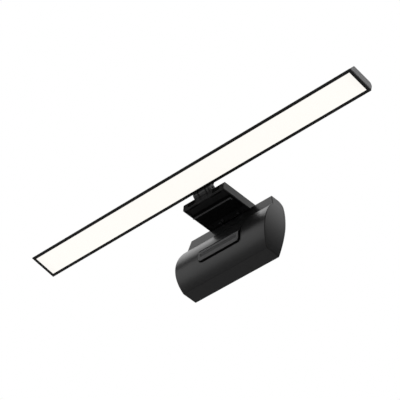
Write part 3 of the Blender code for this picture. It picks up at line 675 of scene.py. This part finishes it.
# ---------------------------------------------------------------- clamp hinge
def make_clamp_hinge():
    y, z = CLAMP
    yoke = block((-25.9, 9.5, 3.0), (25.9, 17.0, 7.4))
    for side in (-1, 1):
        low, high = sorted((side * 19.4, side * 25.9))
        yoke = join(yoke, block((low, 16.0, 3.0), (high, y, 7.0)), rod(2.9, (low, y, z), (high, y, z), 56))
    yoke = cut(yoke, rod(1.55, (-30, y, z), (30, y, z), 40),
               *[rod(1.05, (x, v, 2), (x, v, 6.2), 20) for x, v in ((-12.5, 15), (12.5, 15), (-7.5, 12.8))])
    # The yoke takes the darker plastic, which paints the shade under the arm.
    piece("rear_yoke_moulding", yoke, "arm", SHADED_UNDERSIDE, ["rear_yoke"], HERE, 0.25)
    pin = rounded(rod(1.5, (-26.3, y, z), (26.3, y, z), 40), lambda m, d: near(abs(m.x), 26.3), 0.3, 3)
    piece("clamp_pin_turned", pin, "arm", STEEL, ["clamp_pin"])

    saddle = block((-20.5, 19.9, -4.4), (20.5, 26.6, -2.9))
    for side in (-1, 1):
        low, high = sorted((side * 13.6, side * 18.6))
        saddle = join(saddle, block((low, y - 2.6, -4.0), (high, y + 1.5, z)),
                      rod(2.9, (low, y, z), (high, y, z), 56))
    saddle = cut(saddle, rod(1.55, (-30, y, z), (30, y, z), 40),
                 *[rod(1.05, (x, 24.5, -6), (x, 24.5, -2), 20) for x in (-8.0, 8.0)])
    # The saddle takes the darker plastic, which paints the shade under the arm.
    piece("hinge_saddle_moulding", saddle, "clamp", SHADED_UNDERSIDE, ["hinge_saddle"], HERE, 0.25)


# ---------------------------------------------------------------- counterweight
def body_block(inset=0.0):
    """The counterweight: a block sliced into levels, its walls then moved on to the outline."""
    radius, top = DRUM_RADIUS - inset, -2.6 if inset else BODY_TOP
    bottom, foot = BODY_BOTTOM + inset, FLANGE_FOOT - inset * 0.4
    steps = 16 if inset else 44
    low, high = (math.asin((level - DRUM[1]) / radius) for level in (bottom, foot))
    made = block((-60.0, -10.0, bottom), (60.0, 60.0, top))
    for i in range(1, steps + 1):
        level = DRUM[1] + radius * math.sin(low + (high - low) * i / steps)
        bmesh.ops.bisect_plane(made, geom=made.verts[:] + made.edges[:] + made.faces[:],
                               plane_co=(0, 0, level), plane_no=(0, 0, 1))
    flange = DRUM[0] - radius * math.cos(high)
    for vert in made.verts:
        z = vert.co.z
        if vert.co.y > 20.0:
            lean = 1.7 * max(0.0, (z + 36.0) / (BODY_BOTTOM + 36.0))
            vert.co.y = BODY_REAR - inset - lean * (1.0 if not inset else 0.6)
        elif z > foot + 0.001:
            vert.co.y = 17.4 + inset
        else:
            vert.co.y = DRUM[0] - math.sqrt(radius ** 2 - (z - DRUM[1]) ** 2)
        vert.co.x = math.copysign(BOW[0] + math.sqrt((BOW[2] - inset) ** 2 - (z - BOW[1]) ** 2), vert.co.x)
    rounded(made, lambda m, d: near(abs(d.x), 1) and near(m.z, top) and m.y > 25, 7.5 - inset, 12)
    if inset:
        return made
    rounded(made, lambda m, d: near(abs(d.x), 1) and near(m.z, top) and m.y < flange + 3, 0.8, 4)
    rounded(made, lambda m, d: near(abs(d.x), 1) and near(m.z, bottom), 0.7, 3)
    made.normal_update()
    creases = [edge for edge in made.edges
               if sorted(abs(face.normal.x) > 0.7 for face in edge.link_faces) == [False, True]]
    bmesh.ops.bevel(made, geom=creases, offset=0.6, offset_type="OFFSET", affect="EDGES", segments=3,
                    profile=0.5, material=-1, clamp_overlap=True)
    return made


def make_shells():
    y, z = CLAMP
    shell = cut(body_block(), body_block(2.2), block((-80, SPLIT, -90), (80, 50, 20)),
                block((-28.9, 5.0, -0.4), (28.9, y, 12.0)), rod(5.0, (-28.9, y, z), (28.9, y, z), 96),
                *[block((side * 16.1 - 2.8, y - 3.0, -6.0), (side * 16.1 + 2.8, y + 3.0, 2.0))
                  for side in (-1, 1)])
    groove = cut(boolean(drum_strip(-31.0, -56.0, -1.4, 1.0, PAD_HALF + 1.1),
                         round_cornered(PAD_HALF + 1.1, PAD_BOTTOM - 1.1, 4.6), "INTERSECT"),
                 block((-PAD_HALF, -20, PAD_TOP), (PAD_HALF, 40, 0)), block((-40, -20, PAD_TOP), (0, 40, 0)))
    shell = cut(shell, groove)
    piece("weight_front_shell", shell, "clamp", BODY_PLASTIC, ["weight_shell"])
    cover = cut(body_block(), body_block(2.2), block((-80, -10, -90), (80, SPLIT + 0.25, 20)))
    for x, place in ((-22, -30), (22, -30), (-22, -52), (22, -52)):
        cover = cut(cover, rod(1.05, (x, 28, place), (x, 36, place), 24),
                    rod(2.3, (x, 33.2, place), (x, 37, place), 36))
    piece("weight_rear_cover", cover, "clamp", BODY_PLASTIC, ["rear_cover"])


def drum_strip(top, bottom, inner, outer, half):
    """A strip of the drum's skin between two levels and two heights above the drum."""
    first, last = (math.pi - math.asin((level - DRUM[1]) / DRUM_RADIUS) for level in (top, bottom))
    made = bmesh.new()
    made.faces.new([made.verts.new((x, DRUM[0] + (DRUM_RADIUS + r) * math.cos(first),
                                    DRUM[1] + (DRUM_RADIUS + r) * math.sin(first)))
                    for x, r in ((-half, inner), (half, inner), (half, outer), (-half, outer))])
    bmesh.ops.spin(made, geom=made.verts[:] + made.edges[:] + made.faces[:], cent=(0, *DRUM),
                   axis=(1, 0, 0), angle=last - first, steps=24, use_merge=False, use_duplicate=False)
    return made


def round_cornered(half, bottom, radius):
    """A deep block whose two lower corners, seen from the front, are round."""
    made = block((-half, -20.0, bottom), (half, 32.0, -20.0))
    return rounded(made, lambda m, d: near(abs(d.y), 1) and near(m.z, bottom), radius, 8)


def make_grip_pad():
    """A raised matt pad with a sunk panel on a near-black backing, below a smooth band. The backing paints
    the shadow line round the pad; the panel's darker silicone paints shade in the recess.
    """
    # The backing is near-black: painted shadow along the pad's lower edge and a dark line above its top.
    backing = boolean(drum_strip(PAD_TOP + 1.5, -54.0, -1.2, 1.7, PAD_HALF),
                      round_cornered(PAD_HALF, PAD_BOTTOM, 3.6), "INTERSECT")
    piece("grip_pad_backing", backing, "clamp", BLACK_SHADE_SILICONE, ["grip_pad"], HERE, 0.1)
    pad = boolean(drum_strip(PAD_TOP - 0.2, -54.0, 1.7, 2.0, PAD_HALF - 0.2),
                  round_cornered(PAD_HALF - 0.2, PAD_BOTTOM + 0.2, 3.4), "INTERSECT")
    pad = cut(pad, drum_strip(PAD_TOP - 3.2, PAD_BOTTOM + 4.4, 1.0, 3.0, PAD_HALF - 3.2))
    piece("grip_pad_face", pad, "clamp", PAD_SILICONE, (), HERE, 0.12, 3)
    # The sunk panel takes the darker silicone, which paints shade in the recess.
    panel = drum_strip(PAD_TOP - 3.25, PAD_BOTTOM + 4.45, 1.6, 1.78, PAD_HALF - 3.25)
    piece("grip_pad_panel", panel, "clamp", SHADED_PANEL_SILICONE)
    band = drum_strip(-31.0, PAD_TOP + 1.6, 0.05, 0.3, PAD_HALF)
    piece("grip_pad_smooth_band", band, "clamp", SMOOTH_SILICONE, (), HERE, 0.12)


def make_spring():
    """A close coil round the pin with one leg forward and one leg down."""
    y, z = CLAMP
    radius, wire, half, turns, around = 2.35, 0.4, 5.6, 9.25, 32
    steps = int(turns * around)
    coil = bmesh.new()
    bmesh.ops.create_circle(coil, cap_ends=False, radius=wire, segments=12)
    bmesh.ops.transform(coil, matrix=Matrix.Translation((-half, y, z + radius)), verts=coil.verts)
    bmesh.ops.rotate(coil, cent=(-half, y, z + radius), matrix=Matrix.Rotation(math.pi / 2, 3, "X"),
                     verts=coil.verts)
    bmesh.ops.spin(coil, geom=coil.verts[:] + coil.edges[:], cent=(-half, y, z), axis=(1, 0, 0),
                   dvec=(2 * half / steps, 0, 0), angle=-math.tau * turns, steps=steps,
                   use_merge=False, use_duplicate=False)
    legs = [rounded(rod(wire, (-half, y - 4.6, z + radius), (-half, y + 0.05, z + radius), 12),
                    lambda m, d: m.y < y - 4.5 and abs(d.y) < 0.5, 0.12, 2),
            rounded(rod(wire, (half, y + radius, z + 0.05), (half, y + radius, z - 4.0), 12),
                    lambda m, d: m.z < z - 3.9 and abs(d.z) < 0.5, 0.12, 2)]
    bmesh.ops.holes_fill(coil, edges=[edge for edge in coil.edges if len(edge.link_faces) == 1])
    piece("clamp_spring_coil", merged(coil, *legs), "arm", SPRING_STEEL, ["torsion_spring"])
    for side, name in ((-1, "clamp_washer_left"), (1, "clamp_washer_right")):
        washer = cut(rod(2.7, (side * 18.8, y, z), (side * 19.2, y, z), 48),
                     rod(1.6, (side * 18, y, z), (side * 20, y, z), 32))
        piece(name + "_stamped", washer, "arm", STEEL, [name], HERE, 0.06)


make_housing()
make_end_caps()
make_lit_face()
make_touch_strip()
make_usb_socket()
make_screws()
make_tilt_hinge()
make_arm()
make_clamp_hinge()
make_spring()
make_shells()
make_grip_pad()

# CAD nodes whose shape stays: the parts inside the bar and the counterweight
for node, material in {"reflector": SHEET, "led_board": BOARD, "driver_board": BOARD,
                       "touch_board": BOARD, "lug_nut_plate": STEEL, "counterweight_left": IRON,
                       "counterweight_right": IRON}.items():
    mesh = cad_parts[node].data
    mesh.materials.clear()
    mesh.materials.append(material)


# ---------------------------------------------------------------- stage, light and camera
def make_stage():
    mesh = bpy.data.meshes.new("floor")
    plane = bmesh.new()
    bmesh.ops.create_grid(plane, x_segments=1, y_segments=1, size=40.0)
    bmesh.ops.translate(plane, vec=(0.0, 0.0, -1.75), verts=plane.verts)
    plane.to_mesh(mesh)
    plane.free()
    floor = bpy.data.objects.new("floor", mesh)
    bpy.context.scene.collection.objects.link(floor)
    pale = Finish("pale_floor", Roughness=0.9, Emission_Strength=1.0)
    seen = pale.add("ShaderNodeLightPath", {}, output="Is Camera Ray")
    cloud = pale.noise(2.0, 2.0)
    pale.feed(Base_Color=pale.shade(cloud, (0.44, 0.44, 0.44), (0.47, 0.47, 0.47)),
              Emission_Color=pale.shade(seen, (0.0, 0.0, 0.0), (0.75, 0.75, 0.75)))
    mesh.materials.append(pale.material)


def make_world():
    """White to the camera; to everything else a dark studio with soft lights, each a wide lobe."""
    world = bpy.data.worlds.new("studio")
    bpy.context.scene.world = world
    world.use_nodes = True
    sky = Sheet(world.node_tree, "Generated")
    light = 0.0
    for azimuth, elevation, strength in LIGHTS:
        turn, rise = math.radians(azimuth), math.radians(elevation)
        direction = Vector((math.cos(turn) * math.cos(rise), math.sin(turn) * math.cos(rise),
                            math.sin(rise)))
        along = sky.add("ShaderNodeVectorMath", {"operation": "DOT_PRODUCT"}, sky.place, direction,
                        output="Value")
        light = along.clipped() ** FALLOFF * strength + light
    seen = sky.add("ShaderNodeLightPath", {}, output="Is Camera Ray")
    sky.plug(sky.tree.nodes["Background"].inputs[0], sky.shade(seen, light, (1.0, 1.0, 1.0)))


def make_camera():
    data = bpy.data.cameras.new("camera")
    data.lens, data.sensor_width = 209.7, 36.0
    data.clip_start, data.clip_end = 0.05, 200.0
    camera = bpy.data.objects.new("camera", data)
    bpy.context.scene.collection.objects.link(camera)
    azimuth, elevation, roll = (math.radians(v) for v in (47.1, -41.28, 5.15))
    target, distance = Vector((-0.0043, -0.0242, 0.0019)), 2.380
    back = Vector((math.sin(azimuth) * math.cos(elevation), -math.cos(azimuth) * math.cos(elevation),
                   math.sin(elevation)))
    right = Vector((math.cos(azimuth), math.sin(azimuth), 0.0))
    up = back.cross(right)
    right, up = (right * math.cos(roll) + up * math.sin(roll), up * math.cos(roll) - right * math.sin(roll))
    turn = Matrix((right, up, back)).transposed().to_4x4()
    camera.matrix_world = Matrix.Translation(target + back * distance) @ turn
    bpy.context.scene.camera = camera
    bpy.context.scene.view_settings.view_transform = "Standard"


make_stage()
make_world()
make_camera()
